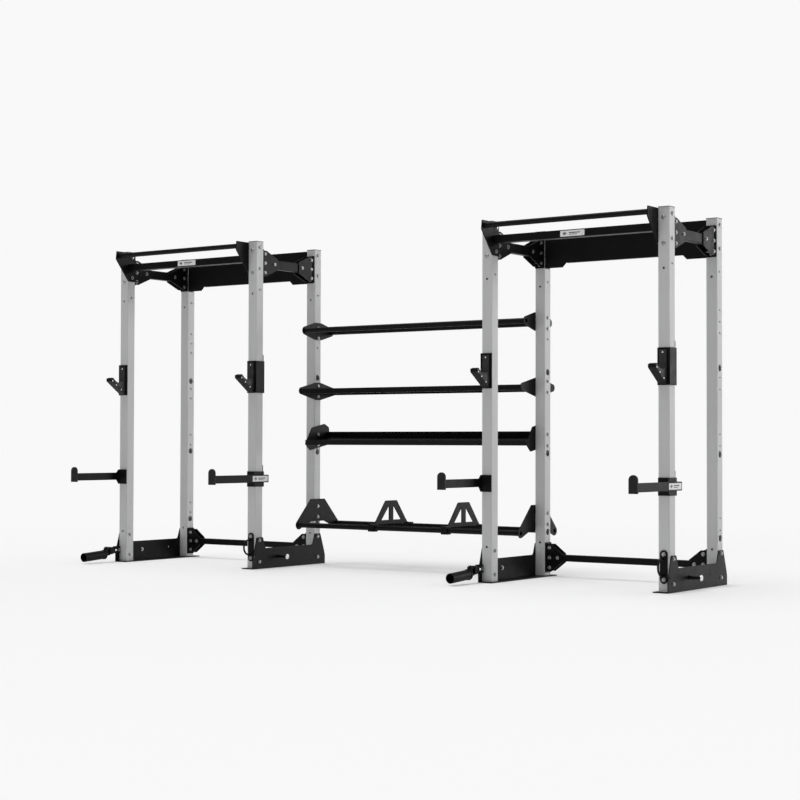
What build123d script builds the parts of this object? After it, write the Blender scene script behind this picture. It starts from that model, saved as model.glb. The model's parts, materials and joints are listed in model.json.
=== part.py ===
"""Twin power cage joined by a four-level storage bridge. Millimetres, +Z up, -Y is the lifting side."""
import os
from math import cos, radians, sin

from build123d import *

# overall layout
rig_height = 2150.0        # floor to the top of the upright caps
tube = 70.0                # square upright section
tube_wall = 3.0
tube_corner = 5.0
cage_width = 1165.0        # upright centre to upright centre, left to right
cage_depth = 615.0         # upright centre to upright centre, front to rear
bridge_span = 1825.0       # inner upright centre to inner upright centre
mid_y = 118.25             # halfway between front and rear uprights; centres the whole rig on Y = 0
floor_plate = 6.0          # thickness of the foot flange the uprights stand on
cap_thick = 3.0
gap = 0.3                  # air between parts that move past each other

front_y = mid_y - cage_depth / 2
rear_y = mid_y + cage_depth / 2
inner_x = bridge_span / 2
outer_x = inner_x + cage_width
cage_x = (inner_x + outer_x) / 2
half = tube / 2

# adjustment holes in the rear wall of each front upright
pitch = 50.0
first_hole = 350.0
hole_count = 30
hole_r = 8.0

# bolts
rear_bolt_rows = (2110, 1970, 1610, 1541, 1214, 1144, 882, 812, 393, 322, 188, 48)
bolt_r = 6.0
bolt_hole_r = 6.3
spare_hole_r = 7.0         # small open holes in the uprights
service_hole_r = 20.0      # large open holes in the rear uprights
head_r = 9.5
head_h = 7.0

# brackets on the ends of the braces and rear crossbars, lengths from the upright's face
brace_z = 2011.0
crossbar_z = 118.0
brace_reach = 160.0
crossbar_reach = 118.0
cheek_face = 26.05         # outer face of a cheek from the bracket's middle
column_bolt = 27.0         # three bolts in a column near the flange
column_rise = 62.0
tip_inset = 34.0           # tip bolt back from the end of the cheek

# racking hooks
hook_low = 1152.0
hook_high = 1362.0
hook_pin = 1150.0          # hole that carries the hook's locking pin
seat_z = 1240.0
plate = 6.0

# safety arms
arm_low = 566.0
arm_high = 616.0
arm_front = 457.5          # from the upright centre to the back of the end stop
arm_rear = 64.5
arm_wide = 20.0
arm_gusset = 62.0          # front end of the gusset ahead of the upright centre
arm_pin = 550.0            # hole that carries the arm's locking pin

# locking pins: each bracket sits on one and lifts straight up off it
pin_r = hole_r - 0.05
saddle_r = pin_r + gap
pin_head_r = 13.0
pin_head = 9.0

# storage bridge levels: height of each bracket centre
ball_z, ball_reach = 1588.0, 142.0
bell_z, bell_reach = 1178.0, 205.0
dumb_tilt = 11.0
disc_z, disc_reach = 272.0, 203.0
rail_r = 17.0
rail_wall = 3.0

# pivoting bar socket at the foot of the left upright of each cage
pivot_y, pivot_z = 90.5, 82.0      # ahead of the upright centre, above the floor
swivel_y = 158.5
droop = 3.5

os.makedirs("parts", exist_ok=True)

front_posts = [(x, front_y, 0) for x in (-outer_x, -inner_x, inner_x, outer_x)]
rear_posts = [(x, rear_y, 0) for x in (-outer_x, -inner_x, inner_x, outer_x)]


def save(shape, name):
    shape.label = name
    export_step(shape, f"parts/{name}.step")


def outward(x):
    """+1 where the outer side of the upright at x faces +X, -1 where it faces -X."""
    return 1 if x in (-inner_x, outer_x) else -1


# ---------------------------------------------------------------- uprights

def upright_tube(brace_wall):
    """Square tube standing at X = Y = 0. brace_wall is +1 or -1: the wall a top brace bolts to."""
    with BuildPart() as post:
        with BuildSketch(Plane.XY.offset(floor_plate)):
            RectangleRounded(tube, tube, tube_corner)
            RectangleRounded(tube - 2 * tube_wall, tube - 2 * tube_wall, tube_corner - 2, mode=Mode.SUBTRACT)
        extrude(amount=rig_height - cap_thick - floor_plate)
        # small holes in the front wall, top and bottom
        with BuildSketch(Plane.XZ.offset(half - 1.5)):
            with Locations((0, 1805), (0, 211)):
                Circle(spare_hole_r)
        extrude(amount=4, both=True, mode=Mode.SUBTRACT)
        # bolt holes for the top brace
        with BuildSketch(Plane.XZ.offset(-brace_wall * (half - 1.5))):
            with Locations((0, 2081), (0, 1941)):
                Circle(bolt_hole_r)
        extrude(amount=4, both=True, mode=Mode.SUBTRACT)
    return post.part


def stand(shape, x, y, name):
    """Place a shape built at X = Y = 0 and write it out."""
    with BuildPart() as placed:
        with Locations((x, y, 0)):
            add(shape)
    save(placed.part, name)


def front_upright(x, name):
    with BuildPart() as post:
        add(upright_tube(1))
        # adjustment holes in the rear wall
        with BuildSketch(Plane.XZ.offset(-half + 1.5)):
            with Locations((0, first_hole + pitch * (hole_count - 1) / 2)):
                with GridLocations(pitch, pitch, 1, hole_count):
                    Circle(hole_r)
        extrude(amount=4, both=True, mode=Mode.SUBTRACT)
        # bolt holes for the wing plate and foot plate, and one spare hole
        with BuildSketch(Plane.YZ.offset(-half - 1)):
            with Locations((0, 2110), (0, 1970), (0, 188), (0, 48)):
                Circle(bolt_hole_r)
            with Locations((0, 1832)):
                Circle(spare_hole_r)
        extrude(amount=tube + 2, mode=Mode.SUBTRACT)
        if x in (-inner_x, outer_x):
            # strap bolts of the rope anchor
            with BuildSketch(Plane.XZ.offset(half - 1.5)):
                with Locations((0, 214), (0, 73)):
                    Circle(bolt_hole_r)
            extrude(amount=4, both=True, mode=Mode.SUBTRACT)
    stand(post.part, x, front_y, name)


def rear_upright(x, name):
    with BuildPart() as post:
        add(upright_tube(-1))
        with BuildSketch(Plane.YZ.offset(-half - 1)):
            with Locations(*[(0, z) for z in rear_bolt_rows]):
                Circle(bolt_hole_r)
            with Locations((0, 1835), (0, 1475)):
                Circle(spare_hole_r)
            with Locations((0, 1270), (0, 765), (0, 276)):
                Circle(service_hole_r)
        extrude(amount=tube + 2, mode=Mode.SUBTRACT)
    stand(post.part, x, rear_y, name)


def upright_caps():
    with BuildPart() as caps:
        with Locations(*[(x, y, rig_height - cap_thick) for x, y, _ in front_posts + rear_posts]):
            Box(tube + 3, tube + 3, cap_thick, align=(Align.CENTER, Align.CENTER, Align.MIN))
        fillet(caps.edges().filter_by(Axis.Z), 4)
        fillet(caps.edges().group_by(Axis.Z)[-1], 1.2)
        with BuildSketch(Plane.XY.offset(rig_height - cap_thick)):
            with Locations(*[(x, y) for x, y, _ in front_posts + rear_posts]):
                RectangleRounded(63, 63, 2.5)
        extrude(amount=-18)
    save(caps.part, "upright_caps")


# ---------------------------------------------------------------- top frame

def wing_plates():
    """Plates on the inner sides of each cage's front uprights; they carry the pull-up bar."""
    with BuildPart() as wings:
        for x in (-outer_x + half, -inner_x - half - 8, inner_x + half, outer_x - half - 8):
            with BuildSketch(Plane.YZ.offset(x)) as outline:
                with BuildLine():
                    Polyline((front_y + 30, 1942), (front_y + 30, 2143), (front_y - 150, 2143),
                             (front_y - 157, 2088), (front_y - 36, 1944), close=True)
                make_face()
                fillet(outline.vertices().group_by(Axis.X)[0], 20)
                with Locations((front_y - 124.5, 2113)):
                    Circle(16.05, mode=Mode.SUBTRACT)
                with Locations((front_y, 2110), (front_y, 1970)):
                    Circle(bolt_hole_r, mode=Mode.SUBTRACT)
            extrude(amount=8)
    save(wings.part, "wing_plates")


def pull_up_bar(cage, name):
    length = cage_width - tube + 4
    with BuildPart() as bar:
        with BuildSketch(Plane.YZ.offset(cage - length / 2)):
            with Locations((front_y - 124.5, 2113)):
                Circle(16)
                Circle(13, mode=Mode.SUBTRACT)
        extrude(amount=length)
        with BuildSketch(Plane.YZ.offset(cage - length / 2)):
            with Locations((front_y - 124.5, 2113)):
                Circle(16)
        extrude(amount=3)
        with BuildSketch(Plane.YZ.offset(cage + length / 2 - 3)):
            with Locations((front_y - 124.5, 2113)):
                Circle(16)
        extrude(amount=3)
        chamfer(bar.edges().filter_by(GeomType.CIRCLE).filter_by(lambda e: abs(e.radius - 16) < 0.1), 1.5)
    save(bar.part, name)


def front_beams():
    length = cage_width - tube - 16
    with BuildPart() as beams:
        for cage in (-cage_x, cage_x):
            with BuildSketch(Plane.YZ.offset(cage - length / 2)):
                with Locations((front_y - 5, 2039)):
                    RectangleRounded(60, 46, 4)
                    RectangleRounded(54, 40, 2, mode=Mode.SUBTRACT)
            extrude(amount=length)
            for x in (cage - length / 2, cage + length / 2 - 6):
                with BuildSketch(Plane.YZ.offset(x)):
                    with Locations((front_y - 5, 2039)):
                        RectangleRounded(60, 46, 4)
                extrude(amount=6)
    save(beams.part, "front_beams")


def beam_badges():
    with BuildPart() as badges:
        for cage in (-cage_x, cage_x):
            with BuildSketch(Plane.XZ.offset(-(front_y - 35))):
                with Locations((cage, 2039)):
                    RectangleRounded(160, 34, 5)
            extrude(amount=1.5)
    save(badges.part, "beam_badges")


def brace_bolt_rows():
    """Y of the bolts that cross the brace tubes, front end first."""
    near, far = half + column_bolt, half + brace_reach - tip_inset
    return (front_y + near, front_y + far, rear_y - far, rear_y - near)


def brace_tubes():
    """The rectangular tubes joining front and rear uprights at the top."""
    with BuildPart() as braces:
        for x in (-outer_x, -inner_x, inner_x, outer_x):
            with BuildSketch(Plane.XZ.offset(-(front_y + half + 8))):
                with Locations((x, brace_z)):
                    RectangleRounded(40, 60, 4)
                    RectangleRounded(34, 54, 2, mode=Mode.SUBTRACT)
            extrude(amount=-(cage_depth - tube - 16))
            with BuildSketch(Plane.YZ.offset(x - 30)):
                with Locations(*[(y, brace_z) for y in brace_bolt_rows()]):
                    Circle(bolt_hole_r)
            extrude(amount=60, mode=Mode.SUBTRACT)
    save(braces.part, "brace_tubes")


def end_bracket(tip, reach):
    """Flange with two tapered cheeks. The flange lies on Y = 0, the cheeks run towards +Y."""
    with BuildPart() as bracket:
        with BuildSketch(Plane.XZ.offset(0)):
            RectangleRounded(66, 186, 8)
            with Locations((0, 70), (0, -70)):
                Circle(bolt_hole_r, mode=Mode.SUBTRACT)
        extrude(amount=-8)
        for x in (-cheek_face, cheek_face - plate):
            with BuildSketch(Plane.YZ.offset(x)) as cheek:
                with BuildLine():
                    Polyline((8, -84), (42, -84), (reach, -tip / 2), (reach, tip / 2), (42, 84), (8, 84),
                             close=True)
                make_face()
                fillet(cheek.vertices().group_by(Axis.X)[-1], 8)
                with Locations((column_bolt, 0), (column_bolt, column_rise), (column_bolt, -column_rise),
                               (reach - tip_inset, 0)):
                    Circle(bolt_hole_r, mode=Mode.SUBTRACT)
            extrude(amount=plate)
    return bracket.part


def end_brackets():
    upper, lower = end_bracket(72, brace_reach), end_bracket(52, crossbar_reach)
    with BuildPart() as brackets:
        for x in (-outer_x, -inner_x, inner_x, outer_x):
            with Locations(Location((x, front_y + half, brace_z)),
                           Location((x, rear_y - half, brace_z), (0, 0, 180))):
                add(upper)
        for cage in (-cage_x, cage_x):
            with Locations(Location((cage - cage_width / 2 + half, rear_y, crossbar_z), (0, 0, -90)),
                           Location((cage + cage_width / 2 - half, rear_y, crossbar_z), (0, 0, 90))):
                add(lower)
    save(brackets.part, "end_brackets")


def header_panel(cage, name):
    """Folded panel between the rear uprights, deeper at both ends."""
    reach = cage_width / 2 - half
    y = rear_y - half + 1
    with BuildPart() as panel:
        with BuildSketch(Plane.XZ.offset(-(y + 4))):
            with BuildLine():
                Polyline((cage - reach, 2139), (cage - reach, 1916), (cage - reach + 125, 1916),
                         (cage - reach + 152, 1943), (cage + reach - 152, 1943), (cage + reach - 125, 1916),
                         (cage + reach, 1916), (cage + reach, 2139), close=True)
            make_face()
        extrude(amount=4)
        with Locations((cage, y + 22, 2137)):
            Box(2 * reach, 36, 4)
        with Locations((cage, y + 15, 1945)):
            Box(2 * reach - 304, 22, 4)
        for x in (cage - reach + 2, cage + reach - 2):
            with Locations((x, y + 27, 2027.5)):
                Box(4, 46, 223)
        with BuildSketch(Plane.YZ.offset(cage - reach - 1)):
            with Locations((rear_y, 2110), (rear_y, 1970)):
                Circle(bolt_hole_r)
        extrude(amount=2 * reach + 2, mode=Mode.SUBTRACT)
    save(panel.part, name)


# ---------------------------------------------------------------- feet

def foot_plate(x, name):
    """Side plate with a tall ear at each upright and a floor flange turned inwards."""
    side = outward(x)
    face = x + half if side > 0 else x - half - plate
    with BuildPart() as foot:
        with BuildSketch(Plane.YZ.offset(face)) as outline:
            with BuildLine():
                rear = [(388, 0), (388, 56), (378, 92), (337, 206), (277, 206), (252, 134)]
                front = [(-250, 134), (-272, 206), (-332, 206), (-366, 92), (-374, 56), (-374, 0)]
                Polyline(*[(mid_y + a, b) for a, b in rear + front], close=True)
            make_face()
            fillet(outline.vertices().filter_by(lambda v: v.Y > 200), 8)
            fillet(outline.vertices().filter_by(lambda v: 130 < v.Y < 140), 18)
            with Locations(*[(y, z) for y in (front_y, rear_y) for z in (188, 48)]):
                Circle(bolt_hole_r, mode=Mode.SUBTRACT)
            with Locations((mid_y - 116, 74)):
                Circle(8.05, mode=Mode.SUBTRACT)
            with Locations((mid_y + 157, 78)):
                Circle(5, mode=Mode.SUBTRACT)
            with Locations((front_y - 48, 82)):
                Circle(bolt_hole_r, mode=Mode.SUBTRACT)
        extrude(amount=plate)
        with BuildSketch(Plane.XY):
            with Locations((x - side * 7, mid_y + 7)):
                Rectangle(96, 762)
        extrude(amount=floor_plate)
    save(foot.part, name)


def band_pegs():
    """One peg on the outer face of each foot plate, with a collar and a flanged end."""
    with BuildPart() as pegs:
        for x in (-outer_x, -inner_x, inner_x, outer_x):
            turn = 90 if outward(x) > 0 else -90
            root = x + outward(x) * (half + plate)
            with Locations(Location((root, mid_y - 116, 74), (0, turn, 0))):
                Cylinder(14, 4, align=(Align.CENTER, Align.CENTER, Align.MIN))
                Cylinder(10, 74, align=(Align.CENTER, Align.CENTER, Align.MIN))
            with Locations(Location((root - outward(x) * plate, mid_y - 116, 74), (0, turn, 0))):
                Cylinder(8, plate, align=(Align.CENTER, Align.CENTER, Align.MIN))
    save(pegs.part, "band_pegs")


def peg_caps():
    with BuildPart() as caps:
        for x in (-outer_x, -inner_x, inner_x, outer_x):
            turn = 90 if outward(x) > 0 else -90
            root = x + outward(x) * (half + plate + 74)
            with Locations(Location((root, mid_y - 116, 74), (0, turn, 0))):
                Cylinder(17, 6, align=(Align.CENTER, Align.CENTER, Align.MIN))
        fillet(caps.edges().filter_by(GeomType.CIRCLE), 1.6)
    save(caps.part, "peg_caps")


def crossbar_bolt_rows():
    """Distance from the middle of a cage to the bolts that cross its rear crossbar."""
    face = cage_width / 2 - half
    return (face - column_bolt, face - crossbar_reach + tip_inset)


def rear_crossbars():
    with BuildPart() as bars:
        for cage in (-cage_x, cage_x):
            length = cage_width - tube - 16
            with BuildSketch(Plane.YZ.offset(cage - length / 2)):
                with Locations((rear_y, crossbar_z)):
                    RectangleRounded(40, 40, 4)
                    RectangleRounded(34, 34, 2, mode=Mode.SUBTRACT)
            extrude(amount=length)
            ends = [cage + s * d for s in (-1, 1) for d in crossbar_bolt_rows()]
            with BuildSketch(Plane.XZ.offset(-(rear_y + 30))):
                with Locations(*[(e, crossbar_z) for e in ends]):
                    Circle(bolt_hole_r)
            extrude(amount=60, mode=Mode.SUBTRACT)
    save(bars.part, "rear_crossbars")


def rope_anchors():
    """Strap with two bolted lobes and a bowed rod, at the foot of each right-hand front upright."""
    with BuildPart() as anchors:
        for x in (-inner_x, outer_x):
            with BuildSketch(Plane.XZ.offset(-(front_y - half))) as strap:
                with Locations((x, 143.5)):
                    SlotOverall(187, 46, rotation=90)
                    with Locations((0, 70.5), (0, -70.5)):
                        Circle(bolt_hole_r, mode=Mode.SUBTRACT)
            extrude(amount=6)
            near, far = front_y - half - 4, front_y - half - 74
            with BuildLine(Plane.YZ.offset(x)) as path:
                ThreePointArc((near, 186), (far, 143.5), (near, 101))
            with BuildSketch(Plane(origin=path.line @ 0, z_dir=path.line % 0)):
                Circle(6)
            sweep(path=path.line)
    save(anchors.part, "rope_anchors")


# ---------------------------------------------------------------- storage bridge

def lobed_plate(x, heights, reach, lobe, crown):
    """Sketch of a symmetrical bracket: a rail lobe at each end and a tall middle."""
    low, centre, high = heights
    with BuildSketch(Plane.YZ.offset(x)) as face:
        with Locations((rear_y - reach, centre), (rear_y + reach, centre)):
            Circle(lobe)
        with Locations((rear_y - crown + 14, high - 14), (rear_y + crown - 14, high - 14),
                       (rear_y - crown + 14, low + 14), (rear_y + crown - 14, low + 14)):
            Circle(14)
        make_hull()
    return face.sketch


def ball_brackets():
    with BuildPart() as plates:
        for x in (-inner_x + half, inner_x - half - plate):
            extrude(lobed_plate(x, (1530, ball_z, 1646), ball_reach, 28, 48), amount=plate)
        with BuildSketch(Plane.YZ.offset(-inner_x)):
            with Locations((rear_y, 1610), (rear_y, 1541)):
                Circle(bolt_hole_r)
            with Locations((rear_y - ball_reach, ball_z), (rear_y + ball_reach, ball_z)):
                Circle(rail_r + 0.05)
        extrude(amount=bridge_span, mode=Mode.SUBTRACT)
    save(plates.part, "ball_rack_brackets")


def tray_brackets():
    with BuildPart() as plates:
        for x in (-inner_x + half, inner_x - half - plate):
            extrude(lobed_plate(x, (bell_z - 60, bell_z, bell_z + 60), bell_reach - 23, 23, 36), amount=plate)
        with BuildSketch(Plane.YZ.offset(-inner_x)):
            with Locations((rear_y, 1214), (rear_y, 1144)):
                Circle(bolt_hole_r)
        extrude(amount=bridge_span, mode=Mode.SUBTRACT)
    save(plates.part, "flat_tray_brackets")


def slope(a, b):
    """A point a along and b above the sloping tray's front corner, as world Y and Z."""
    t = radians(dumb_tilt)
    return (rear_y - 135 + a * cos(t) - b * sin(t), 812 + a * sin(t) + b * cos(t))


def slope_brackets():
    with BuildPart() as plates:
        for x in (-inner_x + half, inner_x - half - plate):
            with BuildSketch(Plane.YZ.offset(x)) as face:
                with BuildLine():
                    Polyline(slope(-2, 8), slope(40, -46), slope(250, -46), slope(274, -8), slope(274, 70),
                             slope(232, 102), slope(92, 102), close=True)
                make_face()
                fillet(face.vertices(), 9)
                with Locations((rear_y, 882), (rear_y, 812)):
                    Circle(bolt_hole_r, mode=Mode.SUBTRACT)
            extrude(amount=plate)
    save(plates.part, "sloped_tray_brackets")


def disc_brackets():
    """Inverted V: a bolted crown with an arm running down to each rail."""
    with BuildPart() as plates:
        for x in (-inner_x + half, inner_x - half - plate):
            with BuildSketch(Plane.YZ.offset(x)) as face:
                for s in (-1, 1):
                    with Locations((rear_y + s * disc_reach, disc_z), (rear_y + s * disc_reach, disc_z)):
                        Circle(30)
                    with BuildLine():
                        Polyline((rear_y + s * (disc_reach + 20), disc_z + 22), (rear_y + s * 76, 443),
                                 (rear_y, 443), (rear_y, 292), (rear_y + s * 70, 292),
                                 (rear_y + s * (disc_reach - 12), disc_z - 27), close=True)
                    make_face()
                with Locations((rear_y, 393), (rear_y, 322)):
                    Circle(bolt_hole_r, mode=Mode.SUBTRACT)
                with Locations((rear_y - disc_reach, disc_z), (rear_y + disc_reach, disc_z)):
                    Circle(rail_r + 0.05, mode=Mode.SUBTRACT)
            extrude(amount=plate)
    save(plates.part, "disc_rack_brackets")


def rails(z, reach, name):
    with BuildPart() as pair:
        with BuildSketch(Plane.YZ.offset(-inner_x + half)):
            with Locations((rear_y - reach, z), (rear_y + reach, z)):
                Circle(rail_r)
                Circle(rail_r - rail_wall, mode=Mode.SUBTRACT)
        extrude(amount=bridge_span - tube)
    save(pair.part, name)


def flat_tray():
    """Level tray with a folded lip along front and back."""
    length = bridge_span - tube - 2 * plate
    with BuildPart() as tray:
        with BuildSketch(Plane.YZ.offset(-length / 2)) as profile:
            with Locations((rear_y, bell_z + 10.5)):
                Rectangle(400, 3)
            for y in (rear_y - 198.5, rear_y + 198.5):
                with Locations((y, bell_z - 5)):
                    Rectangle(3, 34)
            for y in (rear_y - 188, rear_y + 188):
                with Locations((y, bell_z - 20.5)):
                    Rectangle(24, 3)
        extrude(amount=length)
        for x in (-length / 2 + 1.5, length / 2 - 1.5):
            with Locations((x, rear_y, bell_z - 5)):
                Box(3, 397, 34)
    save(tray.part, "flat_tray")


def sloped_tray():
    """Tray tipped forwards, with a raised lip front and back."""
    length = bridge_span - tube - 2 * plate
    with BuildPart() as tray:
        with BuildSketch(Plane.YZ.offset(-length / 2)):
            with BuildLine():
                Polyline(slope(0, 0), slope(270, 0), slope(270, 40), slope(267, 40), slope(267, 3),
                         slope(3, 3), slope(3, 34), slope(0, 34), close=True)
            make_face()
        extrude(amount=length)
        with BuildSketch(Plane.YZ.offset(-length / 2)):
            with BuildLine():
                Polyline(slope(0, 0), slope(270, 0), slope(270, 22), slope(0, 22), close=True)
            make_face()
        extrude(amount=3)
        with BuildSketch(Plane.YZ.offset(length / 2 - 3)):
            with BuildLine():
                Polyline(slope(0, 0), slope(270, 0), slope(270, 22), slope(0, 22), close=True)
            make_face()
        extrude(amount=3)
    save(tray.part, "sloped_tray")


def disc_divider(x, name):
    """A-shaped divider that slides along both bottom rails on clamp shoes."""
    with BuildPart() as divider:
        with BuildSketch(Plane.YZ.offset(x - 4)) as web:
            with BuildLine():
                Polyline((rear_y - disc_reach + 12, 292), (rear_y - disc_reach + 40, 322), (rear_y - 62, 446),
                         (rear_y + 62, 446), (rear_y + disc_reach - 40, 322),
                         (rear_y + disc_reach - 12, 292), close=True)
            make_face()
            fillet(web.vertices().group_by(Axis.Y)[-1], 12)
            for s in (-1, 1):
                with BuildLine():
                    Polyline((rear_y + s * 22, 318), (rear_y + s * 112, 318), (rear_y + s * 30, 408),
                             (rear_y + s * 22, 408), close=True)
                make_face(mode=Mode.SUBTRACT)
        extrude(amount=8)
        for s in (-1, 1):
            with Locations((x, rear_y + s * disc_reach, disc_z)):
                Box(46, 48, 50)
        fillet(divider.edges().filter_by(Axis.X).filter_by(lambda e: e.length > 40), 6)
        with BuildSketch(Plane.YZ.offset(x - 30)):
            with Locations((rear_y - disc_reach, disc_z), (rear_y + disc_reach, disc_z)):
                Circle(rail_r + gap)
        extrude(amount=60, mode=Mode.SUBTRACT)
    save(divider.part, name)


# ---------------------------------------------------------------- racking hooks

def saddle(inside, pin_z, low):
    """Sketch of a slot with a round roof over a pin, running down past the bracket's lower edge."""
    with BuildSketch(Plane.XZ.offset(-inside)) as slot:
        with Locations((0, pin_z)):
            Circle(saddle_r)
        bottom = min(low, pin_z) - 2
        with Locations((0, (pin_z + bottom) / 2)):
            Rectangle(2 * saddle_r, pin_z - bottom)
    return slot.sketch


def locking_pins():
    """A headed pin through the rear wall of each front upright, under every hook and every arm."""
    with BuildPart() as pins:
        for x in (-outer_x, -inner_x, inner_x, outer_x):
            for z in (hook_pin, arm_pin):
                # the head stands just behind the bracket's rear plate
                with Locations(Location((x, front_y + half + 2 * gap + plate, z), (-90, 0, 0))):
                    Cylinder(pin_head_r, pin_head, align=(Align.CENTER, Align.CENTER, Align.MIN))
                with Locations(Location((x, front_y + half + 2 * gap + plate, z), (90, 0, 0))):
                    Cylinder(pin_r, 2 * gap + plate + 20, align=(Align.CENTER, Align.CENTER, Align.MIN))
        ends = pins.edges().filter_by(GeomType.CIRCLE)
        chamfer(ends.filter_by(lambda e: abs(e.radius - pin_head_r) < 0.01), 1.5)
        tips = ends.filter_by(lambda e: e.center().Y < front_y + half - 10)
        chamfer(tips.filter_by(lambda e: abs(e.radius - pin_r) < 0.01), 1.5)
    save(pins.part, "locking_pins")


def hook_bracket():
    """Bracket for an upright whose outer side faces +X, upright centre at X = Y = 0."""
    inside = half + gap
    outside = inside + plate
    with BuildPart() as bracket:
        with BuildSketch(Plane.XY.offset(hook_low)):
            with BuildLine():
                Polyline((-37, -inside), (-37, -outside), (outside, -outside), (outside, outside),
                         (-24, outside), (-24, inside), (inside, inside), (inside, -inside), close=True)
            make_face()
        extrude(amount=hook_high - hook_low)
        # tab standing above the rear plate
        with BuildSketch(Plane.XZ.offset(-outside)):
            with Locations((8, hook_high)):
                RectangleRounded(52, 104, 22)
        extrude(amount=plate)
        # saddle in the rear plate, open downwards, that sits on the locking pin
        extrude(saddle(inside, hook_pin, hook_low), amount=-plate, mode=Mode.SUBTRACT)
        # sloping arm under the seat, with an upturned nose
        with BuildSketch(Plane.YZ.offset(-25)):
            with BuildLine():
                Polyline((-outside, hook_low), (-outside, hook_low + 14), (-165, 1249), (-172, 1266),
                         (-177.5, 1266), (-177.5, 1246), close=True)
            make_face()
        extrude(amount=50)
    return bracket.part


def hook_liner():
    """Plastic wear block: a pad up the bracket face and the sloping seat in front of it."""
    outside = half + gap + plate
    with BuildPart() as liner:
        with BuildSketch(Plane.YZ.offset(-22)) as profile:
            with BuildLine():
                Polyline((-outside, hook_low + 14), (-165, 1249), (-172, 1266), (-160, 1271), (-138, 1252),
                         (-118, seat_z), (-66, seat_z - 2), (-outside - 9, seat_z + 8),
                         (-outside - 9, 1350), (-outside, 1350), close=True)
            make_face()
            fillet(profile.vertices().filter_by(lambda v: v.X > -130 and 1230 < v.Y < 1245), 7)
        extrude(amount=44)
    return liner.part


def place_hook(x, tag):
    """Mirror the hook where the upright's outer side faces -X, then stand it on its upright."""
    for kind, shape in (("bracket", hook_bracket()), ("liner", hook_liner())):
        if outward(x) < 0:
            shape = mirror(shape, about=Plane.YZ)
        stand(shape, x, front_y, f"hook_{kind}_{tag}")


# ---------------------------------------------------------------- safety arms

def arm_frame():
    """Bracket, peg and hollow arm in one weldment, outer side of the upright facing +X."""
    inside = half + gap
    outside = inside + plate
    with BuildPart() as arm:
        with BuildSketch(Plane.XY.offset(538)):
            with BuildLine():
                Polyline((-34, -inside), (-34, -outside), (outside, -outside), (outside, outside),
                         (-24, outside), (-24, inside), (inside, inside), (inside, -inside), close=True)
            make_face()
        extrude(amount=100)
        with BuildSketch(Plane.XZ.offset(-outside)):
            with Locations((8, 638)):
                RectangleRounded(50, 104, 22)
        extrude(amount=plate)
        extrude(saddle(inside, arm_pin, 538), amount=-plate, mode=Mode.SUBTRACT)
        # gusset ahead of the side plate
        with BuildSketch(Plane.YZ.offset(inside)):
            with BuildLine():
                Polyline(
                    (-outside, 538), (-outside, 638), (-arm_gusset, arm_high), (-arm_gusset, arm_low),
                    close=True,
                )
            make_face()
        extrude(amount=plate)
        # hollow arm
        with BuildSketch(Plane.XZ.offset(arm_front)):
            with Locations((outside + arm_wide / 2, (arm_low + arm_high) / 2)):
                RectangleRounded(arm_wide, arm_high - arm_low, 3)
        extrude(amount=-(arm_front + arm_rear))
        with BuildSketch(Plane.XZ.offset(arm_front - 4)):
            with Locations((outside + arm_wide / 2, (arm_low + arm_high) / 2)):
                Rectangle(arm_wide - 6, arm_high - arm_low - 6)
        extrude(amount=-(arm_front + arm_rear - 8), mode=Mode.SUBTRACT)
    return arm.part


def arm_stop():
    """Round-topped end stop that keeps a bar from rolling off the front."""
    with BuildPart() as stop:
        with BuildSketch(Plane.XZ.offset(arm_front)):
            with Locations((35, 595)):
                Rectangle(54, 74)
            with Locations((35, 632)):
                Circle(27)
        extrude(amount=12)
        fillet(stop.faces().sort_by(Axis.Y)[0].edges(), 2)
    return stop.part


def place_arm(x, tag):
    for kind, shape in (("frame", arm_frame()), ("stop", arm_stop())):
        if outward(x) < 0:
            shape = mirror(shape, about=Plane.YZ)
        stand(shape, x, front_y, f"arm_{kind}_{tag}")


# ---------------------------------------------------------------- bar sockets

def socket_mounts():
    """Block clamped on the front edge of the foot plate, with a tongue for the pivot pin."""
    with BuildPart() as mounts:
        for x in (-outer_x, inner_x):
            cx = x - half - plate / 2
            with Locations((cx, front_y - half - 0.5 - 19.75, pivot_z)):
                Box(34, 39.5, 48)
            with BuildSketch(Plane.YZ.offset(cx - 9)):
                with Locations((front_y - pivot_y, pivot_z)):
                    Circle(14)
                with Locations((front_y - pivot_y + 9, pivot_z)):
                    Rectangle(18, 28)
            extrude(amount=18)
            with BuildSketch(Plane.YZ.offset(cx - 30)):
                with Locations((front_y - pivot_y, pivot_z)):
                    Circle(6.05)
                with Locations((front_y - 48, pivot_z)):
                    Circle(bolt_hole_r)
            extrude(amount=60, mode=Mode.SUBTRACT)
            # slot over the foot plate
            with Locations((cx, front_y - 47, pivot_z)):
                Box(plate + 0.1, 40, 60, mode=Mode.SUBTRACT)
    save(mounts.part, "socket_mounts")


def tilt(shape):
    """Let the socket hang down a little about its pivot."""
    to_pivot = Location((0, -pivot_y, pivot_z))
    back = Location((0, pivot_y, -pivot_z))
    return shape.moved(to_pivot * Location((0, 0, 0), (droop, 0, 0)) * back)


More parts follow.
